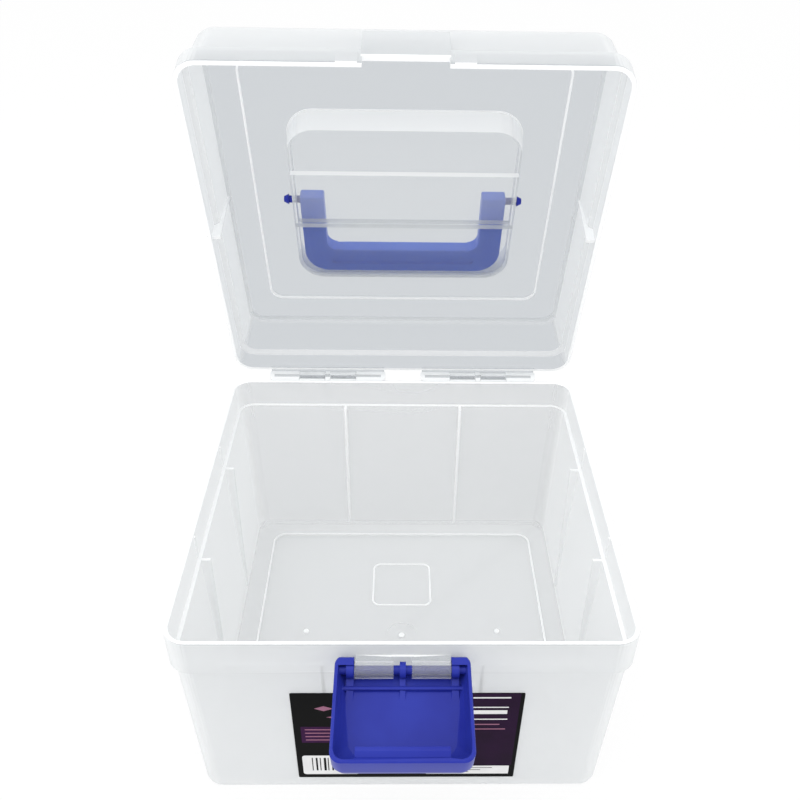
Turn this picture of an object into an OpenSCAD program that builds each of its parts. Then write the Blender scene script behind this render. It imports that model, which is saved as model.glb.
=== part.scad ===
// Clear case for keeping photos: a deep tub, a deep hinged lid, a carrying
// handle sunk in the lid and a hooked latch at the front. The lid stands open
// and the latch hangs open. Millimetres, +Z up, +Y to the hinge side.

/* [Tub] */
// Width over the collar of the tub
tub_w = 216; // [190:1:240]
// Depth over the collar of the tub
tub_d = 212; // [196:1:236]
// Height of the tub's rim above the base
tub_h = 119.4; // [100:0.2:140]
// Corner radius of the collar
corner_r = 12; // [10:0.5:16]
// Height of the collar band
collar_h = 20.2; // [18:0.2:24]
// Wall thickness of the tub
wall_t = 2; // [1.6:0.1:2.4]
// How far each wall leans in from the collar down to the base
taper = 2.65; // [1.5:0.05:4]
// How far the inner ribs stand out from the wall at the top
rib_out = 4.7; // [3:0.1:6]
// Distance of the ribs from the middle of each wall
rib_pos = 37; // [30:0.5:44]

/* [Lid] */
// Height of the lid from its rim to its top
lid_h = 40.6; // [38:0.2:46]
// Angle at which the lid stands open
lid_open = 73.3; // [0:0.1:100]
// Gap between the two rims when the lid is shut
rim_gap = 0.3; // [0.3:0.1:0.8]

/* [Hinge] */
// Distance of the hinge pins behind the collar
hinge_out = 5; // [4.9:0.1:6]
// Radius of the lid's hinge pins
pin_r = 1.5; // [1.3:0.1:1.7]
// Radial play of the snap clips on their pins
clip_play = 0.05; // [0.03:0.01:0.1]
// Width of each hinge window
window_w = 16.8; // [14:0.1:18]

/* [Latch] */
// Width of the latch
latch_w = 59.8; // [56:0.2:66]
// Length of the latch from its pin to its free end
latch_len = 43.5; // [43:0.1:48]
// Angle at which the latch hangs open
latch_open = 98; // [0:1:100]
// Radius of the latch's pin
latch_pin_r = 2; // [1.7:0.1:2.1]

/* [Handle] */
// Width over the legs of the handle
handle_w = 115; // [108:0.5:116]
// Width of each leg of the handle
leg_w = 13.3; // [10:0.1:15]
// Thickness of the handle
handle_t = 8; // [6:0.1:8.4]
// Distance from the handle's pins to the outer edge of its grip
handle_reach = 50; // [44:0.1:50.4]

/* [Label] */
// Width of the label
label_w = 111; // [60:1:130]
// Height of the label
label_h = 72; // [40:1:76]

/* [Hidden] */
$fn = 64;
e = 0.02;
// half sizes of the collar
a = tub_w / 2;
b = tub_d / 2;
over = 2.3;
collar_z = tub_h - collar_h;
floor_t = 2;
ledge_z = tub_h - 17.3;
rim_t = 2.3;
wall_r = corner_r - over;
// inner half sizes at the ledge
ai = a - over - wall_t;
bi = b - over - wall_t;
// hinge at the back
clip_r = pin_r + 1.5;
hy = b + hinge_out;
hz = tub_h - 0.9;
flange_in = 11.5;
flange_out = a - 22;
flange_mid = (flange_in + flange_out) / 2 - 0.25;
win_off = window_w / 2 + 1.55;
// lid
z0 = tub_h + rim_gap;
la = a - 1.15;
lb = b;
lz = z0 + lid_h;
step_z = z0 + 11.5;
skirt_in = 3;
panel_w = tub_w - 46;
panel_d = tub_d - 46;
panel_y = -3.5;
// handle and its pocket
px_y = -6;
px_z = lz - 10.3;
pocket_w = handle_w + 5.7;
pocket_y0 = px_y - handle_reach + 2;
pocket_y1 = px_y + handle_reach + 1.5;
side_play = 0.8;
pocket_z = lz - 15.8;
shelf_z = px_z - handle_t / 2 - 0.3;
// latch
ring_r = latch_pin_r + 1.8;
arc_r = ring_r + 1.7;
ly = -b - ring_r - 2.1;
lzz = tub_h - 10;
tray_in = 4.3;
tray_out = 11;
lip_s = 37.8;
pad_top = lzz + lip_s - 0.7;
// ring lines of the floor
ring_x = a - 19.3;
ring_y = b - 17.9;
// label
lab_x = 2.5;
lab_z = label_h / 2 + 0.346 * (collar_z - label_h);
lab_t = 0.25;

module rrect(w, d, r) {
  square([w - 2 * r, d], center = true);
  square([w, d - 2 * r], center = true);
  for (sx = [-1, 1])
    for (sy = [-1, 1])
      translate([sx * (w / 2 - r), sy * (d / 2 - r)]) circle(r);
}

// a thin rounded plate, used to span the drafted walls
module plate(ha, hb, r, z, y = 0) {
  translate([0, y, z]) linear_extrude(e) rrect(2 * ha, 2 * hb, r, $fn = 40);
}

module block(ha, hb, r, z1, z2, y = 0) {
  translate([0, y, z1]) linear_extrude(z2 - z1) rrect(2 * ha, 2 * hb, r);
}

// draws a profile given in Y and Z as a bar from x1 to x2
module bar(x1, x2) {
  translate([x1, 0, 0]) rotate([90, 0, 90]) linear_extrude(x2 - x1) children();
}

// ---- tub ----
module tub_outer() {
  low = over + taper;
  hull() {
    plate(a - low - 2.4, b - low - 2.4, wall_r - 2, 0);
    plate(a - low - 0.7, b - low - 0.7, wall_r - 0.7, 0.8);
    plate(a - low, b - low, wall_r, 3);
    plate(a - over, b - over, wall_r, collar_z + 1);
  }
  hull() {
    plate(a - over - 0.1, b - over - 0.1, wall_r, collar_z - 2.4);
    plate(a, b, corner_r, collar_z);
  }
  block(a, b, corner_r, collar_z, tub_h - 0.9);
  hull() {
    plate(a, b, corner_r, tub_h - 0.9 - e);
    plate(a - 0.25, b - 0.25, corner_r - 0.25, tub_h - 0.3);
    plate(a - 0.9, b - 0.9, corner_r - 0.9, tub_h - e);
  }
}

module tub_inner() {
  low = over + taper + wall_t;
  hull() {
    plate(a - low - 2.4, b - low - 2.4, wall_r - 4, floor_t);
    plate(a - low - 0.7, b - low - 0.7, wall_r - 2.7, floor_t + 0.8);
    plate(a - low, b - low, wall_r - 2, floor_t + 3);
    plate(ai, bi, wall_r - 2, ledge_z);
  }
  block(a - rim_t, b - rim_t, corner_r - rim_t, ledge_z, tub_h + 1);
  hull() {
    plate(a - rim_t, b - rim_t, corner_r - rim_t, tub_h - 0.7);
    plate(a - rim_t + 0.7, b - rim_t + 0.7, corner_r - rim_t + 0.7, tub_h);
  }
}

// one tapering rib against a wall whose inner face is at distance "at"
module rib(at) {
  rotate([90, 0, 0]) translate([0, 0, -0.8]) linear_extrude(1.6)
    polygon([[at - rib_out, ledge_z], [at + 0.8, ledge_z],
      [at - taper + 0.8, 3], [at - taper - 0.9, 3]]);
}

module ribs() {
  for (s = [-1, 1]) {
    for (t = [-1, 1]) {
      scale([s, 1, 1]) translate([0, t * rib_pos, 0]) rib(ai);
      rotate([0, 0, s * 90]) translate([0, t * rib_pos, 0]) rib(bi);
      translate([s * (a - rim_t) - 0.8, t * rib_pos - 0.6, ledge_z + 2.5])
        cube([1.6, 1.2, tub_h - ledge_z - 4]);
    }
  }
}

module floor_marks() {
  block(ring_x, ring_y, 8, floor_t - 0.1, floor_t + 0.8, -1.3);
  difference() {
    block(ring_x, ring_y, 8, floor_t, floor_t + 1.3, -1.3);
    block(ring_x - 1.2, ring_y - 1.2, 7, floor_t - 1, floor_t + 2, -1.3);
  }
  for (s = [-1, 1])
    translate([s * 59, 0, floor_t]) cylinder(h = 1.2, r = 1.6);
  translate([0, 39, floor_t]) linear_extrude(1.3) difference() {
    rrect(38, 37, 5);
    rrect(35.8, 34.8, 3.9);
  }
}

// snap clip round a pin of radius r, open towards the angle "mouth"
module clip_ring(outer, r, mouth) {
  difference() {
    circle(outer);
    rotate(mouth) translate([0, -r + 0.25]) square([6, 2 * r - 0.5]);
  }
}

module back_clip(xc) {
  w = window_w - 0.6;
  bar(xc - w / 2, xc + w / 2) difference() {
    union() {
      translate([hy, hz]) clip_ring(clip_r, pin_r, 60);
      polygon([[b - 0.4, hz - 14], [b - 0.4, hz + 0.3], [hy - 2, hz + 0.3],
        [hy, hz - 1], [hy, hz - 2.6], [b + 2, hz - 11]]);
    }
    translate([hy, hz]) circle(pin_r + clip_play);
  }
}

module front_clip(x1, x2) {
  bar(x1, x2) difference() {
    union() {
      translate([ly, lzz]) clip_ring(ring_r, latch_pin_r, 262);
      polygon([[-b + 0.4, lzz - 9], [-b + 0.4, lzz + 2.8], [ly + 2, lzz + 2.8],
        [ly + 2, lzz - 3], [ly + 4.2, lzz - 3.2]]);
    }
    translate([ly, lzz]) circle(latch_pin_r + clip_play);
  }
}

module tub() {
  color("gainsboro", 0.5) {
    difference() {
      union() {
        difference() {
          tub_outer();
          tub_inner();
        }
        floor_marks();
      }
      difference() {
        block(ring_x, ring_y, 8, -1, 0.7, -1.3);
        block(ring_x - 1.2, ring_y - 1.2, 7, -2, 1, -1.3);
      }
      translate([0, -3, floor_t + 0.4]) cylinder(h = 2, r = 9.5);
    }
    translate([0, -3, floor_t]) cylinder(h = 1, r = 1.8);
    ribs();
    for (s = [-1, 1])
      for (t = [-1, 1])
        back_clip(s * flange_mid + t * win_off);
    front_clip(4.1, 21.2);
    front_clip(-21.2, -4.1);
    translate([-5, -b - 1, lzz - 5]) cube([10, 1.4, 8]);
  }
}

// ---- lid, drawn shut and then swung open ----
module lid_outer() {
  block(la, lb, corner_r, z0 + 0.8, step_z);
  hull() {
    plate(la - 0.8, lb - 0.8, corner_r - 0.8, z0);
    plate(la - 0.2, lb - 0.2, corner_r - 0.2, z0 + 0.3);
    plate(la, lb, corner_r, z0 + 0.8);
  }
  hull() {
    plate(la, lb, corner_r, step_z - e);
    plate(la - skirt_in, lb - skirt_in, corner_r - 2, step_z + 3);
  }
  hull() {
    plate(la - skirt_in, lb - skirt_in, corner_r - 2, step_z);
    plate(la - skirt_in - 1.4, lb - skirt_in - 1.4, corner_r - 2, lz - 4);
    plate(la - skirt_in - 2.3, lb - skirt_in - 2.3, corner_r - 2.6, lz - 1.3);
    plate(la - skirt_in - 4.6, lb - skirt_in - 4.6, corner_r - 4, lz - e);
  }
}

module lid_inner() {
  i = skirt_in + 2;
  block(la - rim_t, lb - rim_t, corner_r - rim_t, z0 - 1, step_z - 0.6);
  hull() {
    plate(la - rim_t, lb - rim_t, corner_r - rim_t, step_z - 0.7);
    plate(la - i, lb - i, corner_r - 4, step_z + 1.6);
  }
  hull() {
    plate(la - i, lb - i, corner_r - 4, step_z);
    plate(la - i - 1.4, lb - i - 1.4, corner_r - 4, lz - 5);
    plate(la - i - 3.4, lb - i - 3.4, corner_r - 5.5, lz - 2 - e);
  }
}

// the pocket that the handle folds into; g is the wall around it
module pocket(g, z1, z2) {
  yc = (pocket_y0 + pocket_y1) / 2;
  hd = (pocket_y1 - pocket_y0) / 2;
  k = 1.5 / 16;
  hull() {
    plate(pocket_w / 2 + g, hd + g, 13 + g, z1, yc);
    plate(pocket_w / 2 + g + k * (z2 - z1), hd + g + k * (z2 - z1), 14 + g, z2, yc);
  }
}

module pocket_wall() {
  pocket(1.5, pocket_z - 2, lz - 1);
  translate([-pocket_w / 2 - 1, px_y - 24.5, pocket_z - 5.5])
    cube([pocket_w + 2, 35.5, 5]);
}

module pocket_space() {
  pocket(0, pocket_z, lz + 1);
  translate([-pocket_w / 2 + 0.8, px_y - 22.7, pocket_z - 3.5])
    cube([pocket_w - 1.6, 32, 5]);
}

// wide ledge at the hinge side on which the folded handle lies
module pocket_shelf() {
  translate([-pocket_w / 2 - 0.4, px_y + 11.9, shelf_z - 1.8])
    cube([pocket_w + 0.8, 26, 1.8]);
  translate([0, px_y + 37, shelf_z - 1.8]) linear_extrude(1.8)
    rrect(pocket_w + 0.6, 28.6, 13);
  translate([-pocket_w / 2 - 0.4, px_y + 10.3, pocket_z - 1.5])
    cube([pocket_w + 0.8, 1.8, shelf_z - pocket_z + 1.5]);
}

module lid_rib() {
  rotate([90, 0, 0]) translate([0, 0, -0.8]) linear_extrude(1.6)
    polygon([[la - 7, z0 + 1.5], [la - 1.6, z0 + 1.5], [la - 1.6, step_z],
      [la - 4.4, step_z + 2.4], [la - 5.8, lz - 6], [la - 7, lz - 4]]);
}

// hinge flange: a shelf, a hanging plate with two windows, and the pin
module flange(s) {
  w = flange_out - flange_in;
  xc = s * flange_mid;
  difference() {
    translate([xc, 0, 0]) rotate([90, 0, 0]) translate([0, 0, -hy - 1])
      linear_extrude(2) translate([0, hz + 0.6]) rrect(w, 10, 4.2);
    for (t = [-1, 1])
      translate([xc + t * win_off - window_w / 2, hy - 3, hz - 9])
        cube([window_w, 6, 12.6]);
  }
  translate([xc - w / 2 + 1, b - 1, hz + 3.6]) cube([w - 2, hinge_out + 2, 2]);
  translate([xc - w / 2 + 3, hy, hz]) rotate([0, 90, 0]) cylinder(h = w - 6, r = pin_r);
}

module lid_shut() {
  difference() {
    union() {
      difference() {
        lid_outer();
        lid_inner();
      }
      pocket_wall();
      block(panel_w / 2, panel_d / 2, 8, lz - 1, lz + 0.6, panel_y);
    }
    pocket_space();
    difference() {
      block(panel_w / 2 - 0.6, panel_d / 2 - 0.6, 8, lz - 3, lz - 1.4, panel_y);
      block(pocket_w / 2 + 3, (pocket_y1 - pocket_y0) / 2 + 3.5, 15, lz - 4, lz,
        (pocket_y0 + pocket_y1) / 2);
    }
    translate([-pocket_w / 2 - 10, px_y, px_z]) rotate([0, 90, 0])
      cylinder(h = pocket_w + 20, r = 2 + clip_play);
    translate([-pocket_w / 2 - 4, px_y + 12.6, pocket_z - 9])
      cube([pocket_w + 8, 60, shelf_z - 1.8 - pocket_z + 9]);
    translate([-20, -lb - 2, z0 - 1]) cube([40, 6, 6.5]);
  }
  difference() {
    pocket_shelf();
    translate([-pocket_w / 2 - 10, px_y, px_z]) rotate([0, 90, 0])
      cylinder(h = pocket_w + 20, r = 4);
  }
  for (s = [-1, 1]) {
    scale([s, 1, 1]) translate([0, -2, 0]) lid_rib();
    flange(s);
    translate([s * 27 - 5, -lb - 0.7, z0 + 0.1]) cube([10, 1.5, 9.5]);
  }
  difference() {
    block(panel_w / 2, panel_d / 2, 8, lz - 2.5, lz - 1.2, panel_y);
    block(panel_w / 2 - 1.2, panel_d / 2 - 1.2, 7, lz - 4, lz, panel_y);
  }
  // catch pad for the latch, wide and flat on the front skirt
  bar(-20.5, 20.5) polygon([[-lb + 1, z0 + 5.5], [-lb - 0.2, z0 + 5.5],
    [-lb - 0.6, z0 + 6.2], [-lb - 0.6, pad_top], [-lb + 4.2, pad_top],
    [-lb + 3.6, step_z + 2], [-lb + 0.6, step_z - 1]]);
}

module swung() {
  translate([0, hy, hz]) rotate([-lid_open, 0, 0]) translate([0, -hy, -hz]) children();
}

module lid() {
  color("gainsboro", 0.5) swung() lid_shut();
}

// ---- handle ----
module handle_form() {
  h = handle_w / 2;
  y1 = handle_reach;
  difference() {
    union() {
      translate([-h, -3.8]) square([handle_w, y1 - 10.2]);
      translate([-h + 14, y1 - 20]) square([handle_w - 28, 20]);
      for (s = [-1, 1])
        translate([s * (h - 14), y1 - 14]) circle(14);
    }
    translate([-h + leg_w, -10]) square([handle_w - 2 * leg_w, y1 - 12.4]);
    hull()
      for (s = [-1, 1])
        translate([s * (h - leg_w - 6), y1 - 22.4]) circle(6);
  }
}

module handle_folded() {
  difference() {
    translate([0, 0, -handle_t / 2]) linear_extrude(handle_t) handle_form();
    translate([0, handle_reach - 8, -handle_t / 2 - 1]) linear_extrude(2.2)
      rrect(handle_w - 2 * leg_w - 4, 4, 1.9);
  }
  for (s = [-1, 1])
    scale([s, 1, 1]) translate([handle_w / 2 - 0.5, 0, 0]) rotate([0, 90, 0]) {
      cylinder(h = 7.4, r = 2);
      translate([0, 0, 7]) cylinder(h = 2.6, r1 = 2.9, r2 = 1.6);
    }
}

module handle() {
  color("royalblue") swung() translate([-side_play, px_y, px_z]) handle_folded();
}

// ---- latch, drawn shut on the tub's clips; in its profile u is outward, v is up ----
module side_bar(x1, x2) {
  translate([x2, 0, 0]) rotate([90, 0, -90]) linear_extrude(x2 - x1) children();
}

// outline of the latch seen from the side, drawn in by g
module latch_side(g) {
  polygon([[-tray_in - 2 * g, 0], [arc_r - g, 0], [tray_out - 1.4 - g, latch_len - 8],
    [tray_out - g, latch_len - 3 - g / 2], [tray_out - 1.2 - g, latch_len - g],
    [-tray_in - 2 * g, latch_len - g]]);
  intersection() {
    circle(arc_r - g);
    translate([-tray_in - 2 * g, -10]) square([20, 10.5]);
  }
}

// one level of the latch's outline, at depth u, drawn in by g
module latch_level(u, g, r) {
  translate([0, -u, (latch_len - arc_r) / 2]) rotate([90, 0, 0])
    linear_extrude(e) rrect(latch_w - 2 * g, latch_len + arc_r - 2 * g, r, $fn = 40);
}

module latch_outer() {
  intersection() {
    side_bar(-latch_w / 2 - 1, latch_w / 2 + 1) latch_side(0);
    hull() {
      latch_level(-tray_in, 0.5, 5);
      latch_level(-tray_in + 0.7, 0, 5);
      latch_level(5, 0.3, 5);
      latch_level(tray_out - 2.6, 1.2, 5);
      latch_level(tray_out, 3.4, 5);
    }
  }
}

module latch_hollow() {
  intersection() {
    side_bar(-latch_w / 2 - 1, latch_w / 2 + 1) latch_side(1.35);
    hull() {
      latch_level(-tray_in - 1, 1.4, 4);
      latch_level(-1, 2, 4);
      latch_level(3, 3.2, 5);
      latch_level(6, 5.2, 6);
      latch_level(tray_out - 1, 9.4, 7);
    }
  }
}

module latch_post(x1, x2) {
  side_bar(x1, x2) {
    circle(3.5);
    polygon([[-2, -2.9], [arc_r - 0.6, -2.9], [arc_r - 0.6, 2], [7, 12], [5.6, 12],
      [2.4, 2.5], [-2, 2.9]]);
  }
}

module latch_shut() {
  difference() {
    latch_outer();
    latch_hollow();
    translate([-21.5, -12, -10]) cube([43, 24, 9.5]);
    translate([-21.5, 1, -10]) cube([43, 12, 15]);
  }
  latch_post(-24.9, -21.5);
  latch_post(21.5, 24.9);
  latch_post(-1.35, 1.35);
  translate([-28.6, 0, 0]) rotate([0, 90, 0]) cylinder(h = 57.2, r = latch_pin_r);
  // hook that sits over the lid's catch pad
  side_bar(-19.5, 19.5) polygon([[-6.4, lip_s], [-6.4, lip_s + 1.8],
    [-tray_in, lip_s + 3.6], [-tray_in, latch_len - 1.3], [7.4, latch_len - 1.3],
    [9.4, latch_len - 6], [6, lip_s]]);
  // cross wall in front of the pin, and a short rib on the floor
  side_bar(-latch_w / 2 + 2, latch_w / 2 - 2)
    polygon([[3.2, 6], [3.2, 7.6], [6.8, 7.8], [6.4, 5.6]]);
  side_bar(-0.5, 0.5) polygon([[6.2, 15], [6.7, 19], [8, 19], [7.4, 15]]);
}

module latch() {
  color("slateblue") translate([0, ly, lzz]) rotate([latch_open, 0, 0]) latch_shut();
}

// ---- label on the front wall ----
module label() {
  lean = atan(taper / (collar_z + 1 - 3));
  color("indigo")
    translate([lab_x, -b + over + taper * (1 - (lab_z - 3) / (collar_z - 2)), lab_z])
      rotate([90 + lean, 0, 0]) translate([0, 0, 0.02])
        linear_extrude(lab_t) rrect(label_w, label_h, 0.8);
}

tub();
lid();
handle();
latch();
label();
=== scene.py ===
import math

import bmesh
import bpy
from mathutils import Matrix, Vector
from mathutils.bvhtree import BVHTree


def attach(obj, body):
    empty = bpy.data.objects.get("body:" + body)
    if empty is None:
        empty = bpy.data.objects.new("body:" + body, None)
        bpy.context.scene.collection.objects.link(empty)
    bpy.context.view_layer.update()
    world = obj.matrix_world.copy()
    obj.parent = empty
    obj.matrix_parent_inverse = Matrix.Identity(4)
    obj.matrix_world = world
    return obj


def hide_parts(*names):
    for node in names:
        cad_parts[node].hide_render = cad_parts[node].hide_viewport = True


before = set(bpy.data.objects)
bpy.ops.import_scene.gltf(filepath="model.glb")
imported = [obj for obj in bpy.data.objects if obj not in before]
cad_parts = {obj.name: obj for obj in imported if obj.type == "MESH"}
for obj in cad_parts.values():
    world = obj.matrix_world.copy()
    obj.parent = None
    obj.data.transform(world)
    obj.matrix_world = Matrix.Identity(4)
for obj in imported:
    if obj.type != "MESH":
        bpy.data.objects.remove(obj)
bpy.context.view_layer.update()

MM = 0.001
# the lid's swing in the photo's pose, and the middle of its hinge
LID_OPEN = math.radians(73.3)
LID_HINGE = Vector((0, 111.0, 118.5)) * MM
# points of the CAD mesh this close together are one point
WELD = 0.002 * MM
# how strongly the plastics and the printed film bend light
PLASTIC_IOR = 1.49
# printed inks, by their place in the label's list of materials
BLACK, PURPLE, PLUM, WHITE, ROSE = range(5)


# ---- small helpers ----

def colour(code):
    """A colour written as sRGB hex, as the linear values that Blender wants."""
    parts = [int(code[i:i + 2], 16) / 255 for i in (0, 2, 4)]
    linear = [p / 12.92 if p <= 0.04045 else ((p + 0.055) / 1.055) ** 2.4 for p in parts]
    return (*linear, 1.0)


def node(tree, kind, links=None, **settings):
    """Adds a node; settings are its properties or inputs, links feed its inputs."""
    made = tree.nodes.new(kind)
    for name, value in settings.items():
        if hasattr(made, name):
            setattr(made, name, value)
        else:
            made.inputs[name.replace("_", " ")].default_value = value
    for name, source in (links or {}).items():
        tree.links.new(source, made.inputs[name])
    return made


def cells(size):
    """A noise pattern's scale, from the size of its grains or clouds in millimetres."""
    return 1 / (size * MM)


def new_material(name):
    """An empty node material, and its tree."""
    mat = bpy.data.materials.new(name)
    mat.use_nodes = True
    mat.node_tree.nodes.clear()
    return mat, mat.node_tree


# ---- finished copies of the moulded pieces ----

def merged_copy(node_name, piece_name):
    """The CAD node's mesh with its loose triangles joined, as a piece of its own."""
    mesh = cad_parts[node_name].data.copy()
    mesh.name = piece_name
    work = bmesh.new()
    work.from_mesh(mesh)
    bmesh.ops.remove_doubles(work, verts=work.verts, dist=WELD)
    bmesh.ops.dissolve_degenerate(work, dist=WELD, edges=work.edges)
    work.to_mesh(mesh)
    work.free()
    piece = bpy.data.objects.new(piece_name, mesh)
    bpy.context.collection.objects.link(piece)
    return piece


def settle(piece):
    """Applies the piece's modifiers, so that a plain mesh is left."""
    done = piece.evaluated_get(bpy.context.evaluated_depsgraph_get())
    mesh = bpy.data.meshes.new_from_object(done)
    piece.modifiers.clear()
    piece.data = mesh


def smooth(mesh, limit=30):
    """Rounds the shading over gentle bends only: a corner's normal is the average of
    the faces there that lean less than the limit, weighted by their area, so large flat
    faces stay flat and creases stay crisp."""
    around = [[] for _ in mesh.vertices]
    for face in mesh.polygons:
        for v in face.vertices:
            around[v].append(face.index)
    normals = [face.normal.copy() for face in mesh.polygons]
    areas = [face.area for face in mesh.polygons]
    near = math.cos(math.radians(limit))
    corners = []
    for face in mesh.polygons:
        own = normals[face.index]
        for v in face.vertices:
            near_by = (normals[g] * areas[g] for g in around[v] if normals[g].dot(own) > near)
            mean = sum(near_by, Vector())
            corners.append(mean.normalized() if mean.length > 0 else own)
    mesh.shade_smooth()
    mesh.normals_split_custom_set(corners)


def round_edges(piece, width, sharp=40):
    """Rounds the long sharp edges of a solid moulding, as its mould does. Edges under a
    millimetre, which make up the round pins, are left alone."""
    work = bmesh.new()
    work.from_mesh(piece.data)
    weight = work.edges.layers.float.new("bevel_weight_edge")
    for edge in work.edges:
        if edge.calc_length() > MM and edge.calc_face_angle(0) > math.radians(sharp):
            edge[weight] = 1.0
    work.to_mesh(piece.data)
    work.free()
    soft = piece.modifiers.new("rounded edges", "BEVEL")
    soft.width = width * MM
    soft.segments = 2
    soft.limit_method = "WEIGHT"
    soft.use_clamp_overlap = False
    settle(piece)


def face_groups(mesh, limit):
    """Numbers the faces so that neighbours that bend less than the limit share one, and
    lists the faces along each edge."""
    group = list(range(len(mesh.polygons)))

    def top(k):
        while group[k] != k:
            group[k] = group[group[k]]
            k = group[k]
        return k

    sides = {}
    for face in mesh.polygons:
        for key in face.edge_keys:
            sides.setdefault(key, []).append(face.index)
    near = math.cos(math.radians(limit))
    for pair in sides.values():
        if len(pair) == 2:
            one, other = (mesh.polygons[k].normal for k in pair)
            if one.dot(other) > near:
                group[top(pair[0])] = top(pair[1])
    return [top(k) for k in range(len(group))], sides


def sheet_depth(mesh, thin=3.0, thick=9.0, wide_edge=3.8, small_facet=30):
    """Stores on every face how white its plastic looks: 0 on a plain wall, 1 where the
    plastic behind the face is thick, as on the edge of a wall or a rib, or where the
    face is a narrow edge, which is painted white as a highlight line, fully from a
    millimetre below wide_edge. Limits are millimetres, and small_facet is square millimetres."""
    inset = 0.02 * MM
    tree = BVHTree.FromPolygons([v.co for v in mesh.vertices],
                                [p.vertices[:] for p in mesh.polygons])
    flat, _ = face_groups(mesh, 1)
    soft, sides = face_groups(mesh, 25)
    flat_area, flat_deep, soft_area, soft_deep, rim = ({} for _ in range(5))
    for face in mesh.polygons:
        corners = [mesh.vertices[v].co for v in face.vertices]
        far = 1000.0
        for spot in [face.center] + [face.center.lerp(corner, 0.8) for corner in corners]:
            hit = tree.ray_cast(spot - face.normal * inset, -face.normal)
            if hit[0] is not None:
                far = min(far, hit[3] / MM)
        value = min(1.0, max(0.0, (far - thin) / (thick - thin)))
        for total, group, amount in ((flat_area, flat, 1), (flat_deep, flat, value),
                                     (soft_area, soft, 1), (soft_deep, soft, value)):
            key = group[face.index]
            total[key] = total.get(key, 0) + face.area * amount
    for key, pair in sides.items():
        if len(pair) != 2 or soft[pair[0]] != soft[pair[1]]:
            length = (mesh.vertices[key[0]].co - mesh.vertices[key[1]].co).length
            for k in pair:
                rim[soft[k]] = rim.get(soft[k], 0) + length
    depth = mesh.attributes.new("depth", "FLOAT", "FACE")
    for face in mesh.polygons:
        own, bend = flat[face.index], soft[face.index]
        through = flat_deep[own] / max(flat_area[own], 1e-12)
        # the small facets of a round share one value
        if flat_area[own] < small_facet * MM * MM:
            through = soft_deep[bend] / max(soft_area[bend], 1e-12)
        # narrow edges get a painted highlight: the narrower the face, the whiter
        width = 2 * soft_area[bend] / max(rim.get(bend, 1.0), 1e-9) / MM
        painted_edge_highlight = min(1.0, max(0.0, wide_edge - width))
        depth.data[face.index].value = max(through, painted_edge_highlight)


def paint_pocket_light(mesh):
    """Paints light into the handle's pocket: whiter and hazier than the rest of the lid,
    its walls and step most, the floor that hides the handle's legs next, the shelf under the
    grip least."""
    walls, floor, shelf = 0.6, 0.19, 0.12
    # the pocket's limits in millimetres, with the lid shut
    half_width, front, step, back, rim = 64, -60, 5, 49, 158.5
    turn = Matrix.Rotation(LID_OPEN, 3, "X")
    depth = mesh.attributes["depth"].data
    for face in mesh.polygons:
        # the face's place in millimetres and its normal, with the lid shut
        spot = (turn @ (face.center - LID_HINGE) + LID_HINGE) / MM
        if abs(spot.x) > half_width or not front < spot.y < back or spot.z > rim:
            continue
        # the walls and step are painted white against the shade they get; the floor and shelf
        # get a painted haze over the handle
        value = walls
        if abs((turn @ face.normal).z) > 0.9:
            value = floor if spot.y < step else shelf
        depth[face.index].value = max(depth[face.index].value, value)


def clear_clips(mesh, thin_mat):
    """Keeps the thin front clips clear, so that the latch's pin shows through them, and
    their end faces white."""
    ends, rolls = 0.9, 0.2
    # the clips' limits in millimetres
    half_width, behind, below = 22, -107, 104
    mesh.materials.append(thin_mat)
    depth = mesh.attributes["depth"].data
    for face in mesh.polygons:
        spot = face.center / MM
        if abs(spot.x) < half_width and spot.y < behind and spot.z > below:
            face.material_index = 1
            depth[face.index].value = ends if abs(face.normal.x) > 0.9 else rolls


def finish(piece, body, slot, *nodes):
    """Says which body the piece moves with and hides what it stands for; slot, its CAD material,
    is not used.
    """
    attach(piece, body)
    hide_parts(*nodes)


# ---- materials ----

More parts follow.
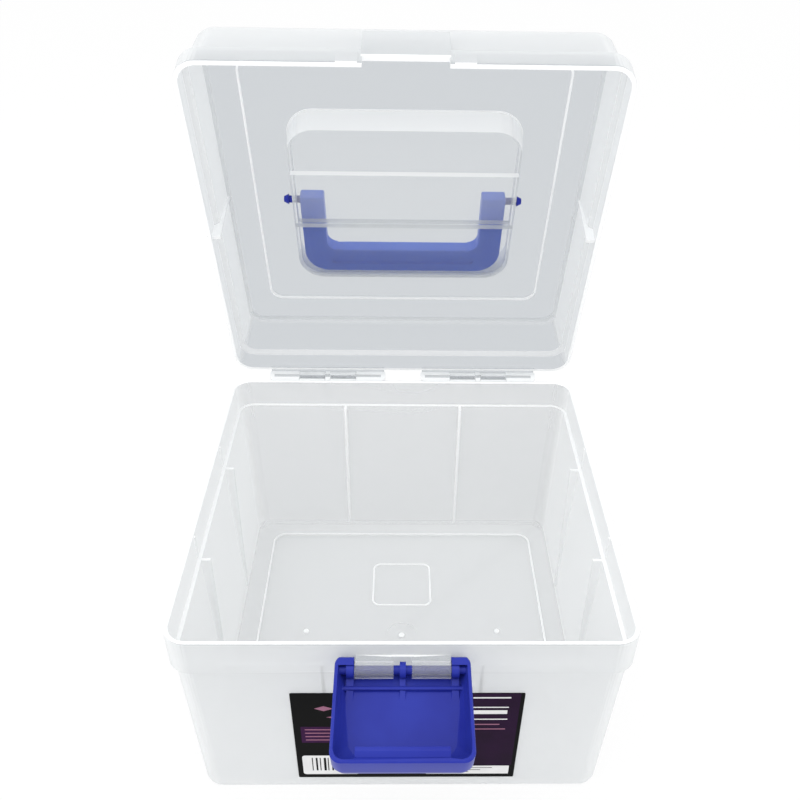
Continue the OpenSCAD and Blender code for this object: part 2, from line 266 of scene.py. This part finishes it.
def clear_polypropylene(name, tint, least, from_facing):
    """Injection-moulded natural polypropylene: a faint grey where the wall is met
    square on, milky where the eye runs along it, white through a rib or a rim, with
    narrow edges painted white as highlight lines, faint flow clouds and a soft satin
    gloss. Tint is what a wall lets through, least is how milky it is when met square
    on, and from_facing is the slant from which it gets milkier."""
    mat, t = new_material(name)
    place = node(t, "ShaderNodeTexCoord")
    # mould grain, drawn at about 1 mm so that it shows
    grain = node(t, "ShaderNodeTexNoise", {"Vector": place.outputs["Object"]},
                 Scale=cells(1.111), Detail=2.0)
    bump = node(t, "ShaderNodeBump", {"Height": grain.outputs["Fac"]},
                Strength=0.05, Distance=0.2 * MM)
    skin = node(t, "ShaderNodeBsdfPrincipled", {"Normal": bump.outputs["Normal"]},
                Roughness=0.2, IOR=PLASTIC_IOR)
    skin.inputs["Base Color"].default_value = colour("fafbfb")
    glow = node(t, "ShaderNodeBsdfTranslucent")
    glow.inputs["Color"].default_value = colour("fafbfb")
    depth = node(t, "ShaderNodeAttribute", attribute_name="depth")
    # a thin wall glows with the light behind it, a thick edge doesn't
    lit = node(t, "ShaderNodeMapRange", {"Value": depth.outputs["Fac"]})
    lit.inputs["To Min"].default_value = 0.45
    lit.inputs["To Max"].default_value = 0.02
    milk = node(t, "ShaderNodeMixShader",
                {0: lit.outputs[0], 1: skin.outputs[0], 2: glow.outputs[0]})
    # thick parts scatter light rather than take it away; narrow edges are painted white the same
    # way, as highlight lines
    passed = node(t, "ShaderNodeValToRGB", {"Fac": depth.outputs["Fac"]})
    wall_stop, edge_stop = passed.color_ramp.elements
    wall_stop.color, wall_stop.position = colour(tint), 0.2
    edge_stop.color, edge_stop.position = colour("fcfcfc"), 0.55
    through = node(t, "ShaderNodeBsdfTransparent", {"Color": passed.outputs["Color"]})
    edge = node(t, "ShaderNodeLayerWeight", Blend=0.35)
    along = node(t, "ShaderNodeMapRange", {"Value": edge.outputs["Facing"]},
                 interpolation_type="SMOOTHSTEP")
    for socket, value in (("From Min", from_facing), ("From Max", 0.55),
                          ("To Min", least), ("To Max", 0.85)):
        along.inputs[socket].default_value = value
    # flow clouds of the moulding, about 8 cm across
    cloud = node(t, "ShaderNodeTexNoise", {"Vector": place.outputs["Object"]},
                 Scale=cells(83.33), Detail=1.0)
    drift = node(t, "ShaderNodeMapRange", {"Value": cloud.outputs["Fac"]}, clamp=False)
    drift.inputs["To Min"].default_value = -0.02
    drift.inputs["To Max"].default_value = 0.02
    clouded = node(t, "ShaderNodeMath", {0: along.outputs[0], 1: drift.outputs[0]},
                   operation="ADD")
    # rims and ribs are nearly opaque, and narrow edges too, as painted highlight lines
    deep = node(t, "ShaderNodeMapRange", {"Value": depth.outputs["Fac"]})
    deep.inputs["To Max"].default_value = 0.9
    thick = node(t, "ShaderNodeMath", {0: clouded.outputs[0], 1: deep.outputs[0]},
                 operation="MAXIMUM")
    mix = node(t, "ShaderNodeMixShader",
               {0: thick.outputs[0], 1: through.outputs[0], 2: milk.outputs[0]})
    node(t, "ShaderNodeOutputMaterial", {"Surface": mix.outputs[0]})
    return mat


def coloured(name, dark, light, cloud_size, grain_size, rough, specular):
    """A plastic or ink coloured in the mass: two close tones drift into each other in
    clouds, over the grain of its surface, and the gloss is a little uneven. The sizes
    of cloud and grain are millimetres."""
    mat, t = new_material(name)
    place = node(t, "ShaderNodeTexCoord")
    grain = node(t, "ShaderNodeTexNoise", {"Vector": place.outputs["Object"]},
                 Scale=cells(grain_size), Detail=3.0)
    bump = node(t, "ShaderNodeBump", {"Height": grain.outputs["Fac"]},
                Strength=0.06, Distance=0.2 * MM)
    drift = node(t, "ShaderNodeTexNoise", {"Vector": place.outputs["Object"]},
                 Scale=cells(cloud_size), Detail=2.0)
    tone = node(t, "ShaderNodeValToRGB", {"Fac": drift.outputs["Fac"]})
    low, high = tone.color_ramp.elements
    low.color, low.position = colour(dark), 0.3
    high.color, high.position = colour(light), 0.7
    gloss = node(t, "ShaderNodeMapRange", {"Value": drift.outputs["Fac"]})
    gloss.inputs["To Min"].default_value = rough - 0.05
    gloss.inputs["To Max"].default_value = rough + 0.05
    skin = node(t, "ShaderNodeBsdfPrincipled",
                {"Normal": bump.outputs["Normal"], "Base Color": tone.outputs["Color"],
                 "Roughness": gloss.outputs[0]}, IOR=PLASTIC_IOR)
    skin.inputs["Specular IOR Level"].default_value = specular
    node(t, "ShaderNodeOutputMaterial", {"Surface": skin.outputs[0]})
    return mat


# the tub is milkier than the lid
tub_clear = clear_polypropylene("moulded clear polypropylene, tub", "f0f1f2", 0.15, 0.0)
lid_clear = clear_polypropylene("moulded clear polypropylene, lid", "e7e9eb", 0.04, 0.2)
# moulded polypropylene, coloured in the mass: deep violet blue with a satin gloss;
# mould grain drawn at about 1 mm so that it shows
BLUE_SKIN = {"cloud_size": 22.22, "grain_size": 1.25, "rough": 0.34, "specular": 0.14}
blue = coloured("moulded blue polypropylene", "252e92", "2b379e", **BLUE_SKIN)
# painted lighter than the latch's same blue, against the shade that the milky pocket in front of
# the handle casts on it
lightened_handle_blue = coloured("moulded blue polypropylene, handle, painted lighter", "3f6de4", "4776ea", **BLUE_SKIN)


# ---- the four moulded pieces ----

# how far the long edges of the solid mouldings are rounded, in millimetres
ROUNDING = {"handle": 0.9, "latch": 0.3}
# where the handle's pins pass the pocket's walls on the left and the right
PIN_LEFT, PIN_RIGHT = -58.6 * MM, 57.0 * MM

for body, mat, slot in (("tub", tub_clear, "clear_plastic"),
                        ("lid", lid_clear, "clear_plastic"),
                        ("handle", lightened_handle_blue, "blue_plastic"),
                        ("latch", blue, "blue_plastic")):
    piece = merged_copy(body, body + "_moulding")
    if body in ROUNDING:
        round_edges(piece, ROUNDING[body])
    smooth(piece.data)
    piece.data.materials.clear()
    piece.data.materials.append(mat)
    if body == "handle":
        # nothing milky lies over the ends of the pins, outside the pocket, so they keep the
        # latch's blue without the painted lightening
        piece.data.materials.append(blue)
        for face in piece.data.polygons:
            face.material_index = int(not PIN_LEFT < face.center.x < PIN_RIGHT)
    if slot == "clear_plastic":
        sheet_depth(piece.data)
    if body == "lid":
        paint_pocket_light(piece.data)
    if body == "tub":
        clear_clips(piece.data, lid_clear)
    finish(piece, body, slot, body)


# ---- printed label ----

def prism(work, outline, at, high, slot):
    """A thin closed plate: outline in millimetres on the label, high over its face. It
    starts a little inside the film, so that no gap is left."""
    rings = [[work.verts.new(at(u, v, w)) for u, v in outline] for w in (-0.02, high)]
    faces = [work.faces.new(rings[1]), work.faces.new(rings[0][::-1])]
    for k in range(len(outline)):
        n = (k + 1) % len(outline)
        faces.append(work.faces.new((rings[0][k], rings[0][n], rings[1][n], rings[1][k])))
    for face in faces:
        face.material_index = slot


def patch(x1, x2, v1, v2, r=0.3, steps=4):
    """A rectangle with rounded corners, as an outline of points."""
    points = []
    for cx, cv, start in ((x2 - r, v1 + r, -90), (x2 - r, v2 - r, 0),
                          (x1 + r, v2 - r, 90), (x1 + r, v1 + r, 180)):
        for k in range(steps + 1):
            a = math.radians(start + 90 * k / steps)
            points.append((cx + r * math.cos(a), cv + r * math.sin(a)))
    return points


def diamond(cx, cv, w, h):
    """A diamond round a middle, as an outline of points; w and h are half sizes."""
    return [(cx - w, cv), (cx, cv - h), (cx + w, cv), (cx, cv + h)]


def label_print():
    """The label: black film with a generic print of plain fields, bars and diamonds."""
    # ink printed on smooth film: flat fields whose tone and dull gloss vary faintly, over
    # a film grain drawn at about 0.7 mm so that it shows
    inks = [coloured(name, dark, light, cloud_size=16.67, grain_size=0.6667, rough=0.5,
                     specular=0.05)
            for name, dark, light in (("printed film black ink", "030304", "080809"),
                                      ("printed film dark purple ink", "1c0822", "260d2e"),
                                      ("printed film plum ink", "2e0e34", "391540"),
                                      ("printed film white ink", "dcdcdc", "e6e6e6"),
                                      ("printed film rose ink", "8e5f74", "9a6a80"))]
    piece = merged_copy("label", "label_print")
    mesh = piece.data
    front = max((p for p in mesh.polygons if p.normal.y < -0.9), key=lambda p: p.area)
    out = front.normal.copy()
    up = (Vector((0, 0, 1)) - out * out.z).normalized()
    across = up.cross(out)
    rim = [v.co for v in mesh.vertices if abs((v.co - front.center).dot(out)) < 0.01 * MM]
    middle = sum(rim, Vector()) / len(rim)

    def at(u, v, w):
        """The point this far across, up and out from the label's middle, in millimetres."""
        return middle + (across * u + up * v + out * w) * MM

    work = bmesh.new()
    work.from_mesh(mesh)
    for face in work.faces:
        face.material_index = BLACK
    # how far the large fields and the print on them stand over the film, in millimetres
    field, mark = 0.03, 0.05
    plates = [
        (patch(8, 53.6, -25, 35.9), field, PURPLE),
        (patch(-52, -12, -4.5, 9), field, PLUM),
        (patch(-52.8, -24, -33, -16, 1.6), field, WHITE),
        (patch(10, 52.6, -33, -25.6), field, WHITE)]
    # short plain lines on the plum field, and longer ones and a bar on the purple one
    for k, end in enumerate((-31, -33, -26, -27)):
        plates.append((patch(-50, end, 6.2 - 2.9 * k, 7.0 - 2.9 * k), mark, ROSE))
    for v, x1, x2, h, ink in ((32, 31, 49, 1.0, WHITE), (24.5, 22, 48.5, 0.8, WHITE),
                              (19.5, 20, 48, 3.0, WHITE), (14.8, 20, 48.5, 0.8, WHITE),
                              (10.5, 18, 45, 0.8, ROSE), (6.6, 14, 48, 0.8, ROSE)):
        plates.append((patch(x1, x2, v, v + h), mark, ink))
    # thin lines on the pale field below it
    for k in range(3):
        line = patch(14, 44 - 6 * k, -27.6 - 1.9 * k, -27.2 - 1.9 * k, 0.15)
        plates.append((line, mark, BLACK))
    # a row of upright bars in the pale box
    for k in range(11):
        width = (0.5, 0.9, 0.5, 1.2)[k % 4]
        bar = patch(-48 + 2 * k, -48 + 2 * k + width, -29.5, -18, 0.15)
        plates.append((bar, mark, BLACK))
    # diamonds at the top left, in two inks
    for u, v, w, h, ink in ((-40, 24, 4.5, 2.0, ROSE), (-28, 28, 5.5, 1.6, WHITE),
                            (-33, 17, 6.0, 1.4, ROSE), (-16, 22, 3.4, 3.4, WHITE),
                            (-6, 27, 2.4, 2.4, ROSE)):
        plates.append((diamond(u, v, w, h), mark, ink))
    for outline, high, ink in plates:
        prism(work, outline, at, high, ink)
    mesh.materials.clear()
    for ink in inks:
        mesh.materials.append(ink)
    work.to_mesh(mesh)
    work.free()
    mesh.shade_flat()
    finish(piece, "tub", "label", "label")


label_print()


# ---- floor, light and camera ----

def studio_floor():
    """Matt white paper under the case: even, with no gloss. What the eye sees of it is
    nearly all its own light, so that it stays white and keeps a faint shadow."""
    own_light = 0.9
    mesh = bpy.data.meshes.new("floor")
    half = 4.0
    mesh.from_pydata([(-half, -half, 0), (half, -half, 0), (half, half, 0), (-half, half, 0)],
                     [], [(0, 1, 2, 3)])
    floor = bpy.data.objects.new("floor", mesh)
    floor.location.z = -0.2 * MM
    bpy.context.collection.objects.link(floor)
    mat, t = new_material("white studio paper")
    sheet = node(t, "ShaderNodeBsdfDiffuse")
    sheet.inputs["Color"].default_value = colour("f4f4f4")
    lit = node(t, "ShaderNodeEmission", Strength=1.0)
    lit.inputs["Color"].default_value = colour("ffffff")
    ray = node(t, "ShaderNodeLightPath")
    seen = node(t, "ShaderNodeMath",
                {0: ray.outputs["Is Camera Ray"], 1: ray.outputs["Is Glossy Ray"]},
                operation="MAXIMUM")
    seen = node(t, "ShaderNodeMath", {0: seen.outputs[0], 1: ray.outputs["Is Transmission Ray"]},
                operation="MAXIMUM")
    part = node(t, "ShaderNodeMath", {0: seen.outputs[0]}, operation="MULTIPLY")
    part.inputs[1].default_value = own_light
    mix = node(t, "ShaderNodeMixShader",
               {0: part.outputs[0], 1: sheet.outputs[0], 2: lit.outputs[0]})
    node(t, "ShaderNodeOutputMaterial", {"Surface": mix.outputs[0]})
    mesh.materials.append(mat)


def softbox(name, place, target, size, watts):
    """A large soft lamp at a place in metres, turned to its target."""
    lamp = bpy.data.lights.new(name, "AREA")
    lamp.shape = "RECTANGLE"
    lamp.size, lamp.size_y = size
    lamp.energy = watts
    box = bpy.data.objects.new(name, lamp)
    box.location = place
    box.rotation_euler = (Vector(target) - Vector(place)).to_track_quat("-Z", "Y").to_euler()
    bpy.context.collection.objects.link(box)


def studio_light():
    """Even white light from all round, with three softboxes that model the edges."""
    world = bpy.data.worlds.new("studio")
    world.use_nodes = True
    bpy.context.scene.world = world
    back = world.node_tree.nodes["Background"]
    back.inputs["Color"].default_value = colour("ffffff")
    back.inputs["Strength"].default_value = 1.0
    softbox("top light", (-0.2, -0.3, 1.5), (0, 0, 0.1), (1.2, 1.2), 7)
    softbox("left light", (-1.3, -0.7, 0.9), (0, 0, 0.12), (0.8, 1.0), 4)
    softbox("right light", (1.4, -0.5, 0.7), (0, 0, 0.12), (0.6, 1.0), 2.5)


def photo_camera():
    """The photo's own viewpoint: from the front, well above, the lens tipped down."""
    # fitted to the photo: focal length and optical centre in its pixels, turns, place
    pixels, focal, centre = 800, 857.2584, (417.09, 409.56)
    pitch, yaw, roll = (math.radians(a) for a in (-35.2488, 1.4381, 1.1455))
    place = Vector((-2.080, -354.837, 422.084)) * MM
    ahead = Vector((math.sin(yaw) * math.cos(pitch),
                    math.cos(yaw) * math.cos(pitch),
                    math.sin(pitch)))
    right = Vector((math.cos(yaw), -math.sin(yaw), 0))
    up = right.cross(ahead)
    side = math.cos(roll) * right + math.sin(roll) * up
    top = -math.sin(roll) * right + math.cos(roll) * up
    data = bpy.data.cameras.new("photo camera")
    data.sensor_width = 36
    data.lens = data.sensor_width * focal / pixels
    data.shift_x = (pixels / 2 - centre[0]) / pixels
    data.shift_y = (centre[1] - pixels / 2) / pixels
    camera = bpy.data.objects.new("photo camera", data)
    turn = Matrix((side, top, -ahead)).transposed().to_4x4()
    camera.matrix_world = Matrix.Translation(place) @ turn
    bpy.context.collection.objects.link(camera)
    bpy.context.scene.camera = camera


studio_floor()
studio_light()
photo_camera()
# colours come out as they are, without a film's curve
bpy.context.scene.view_settings.view_transform = "Standard"
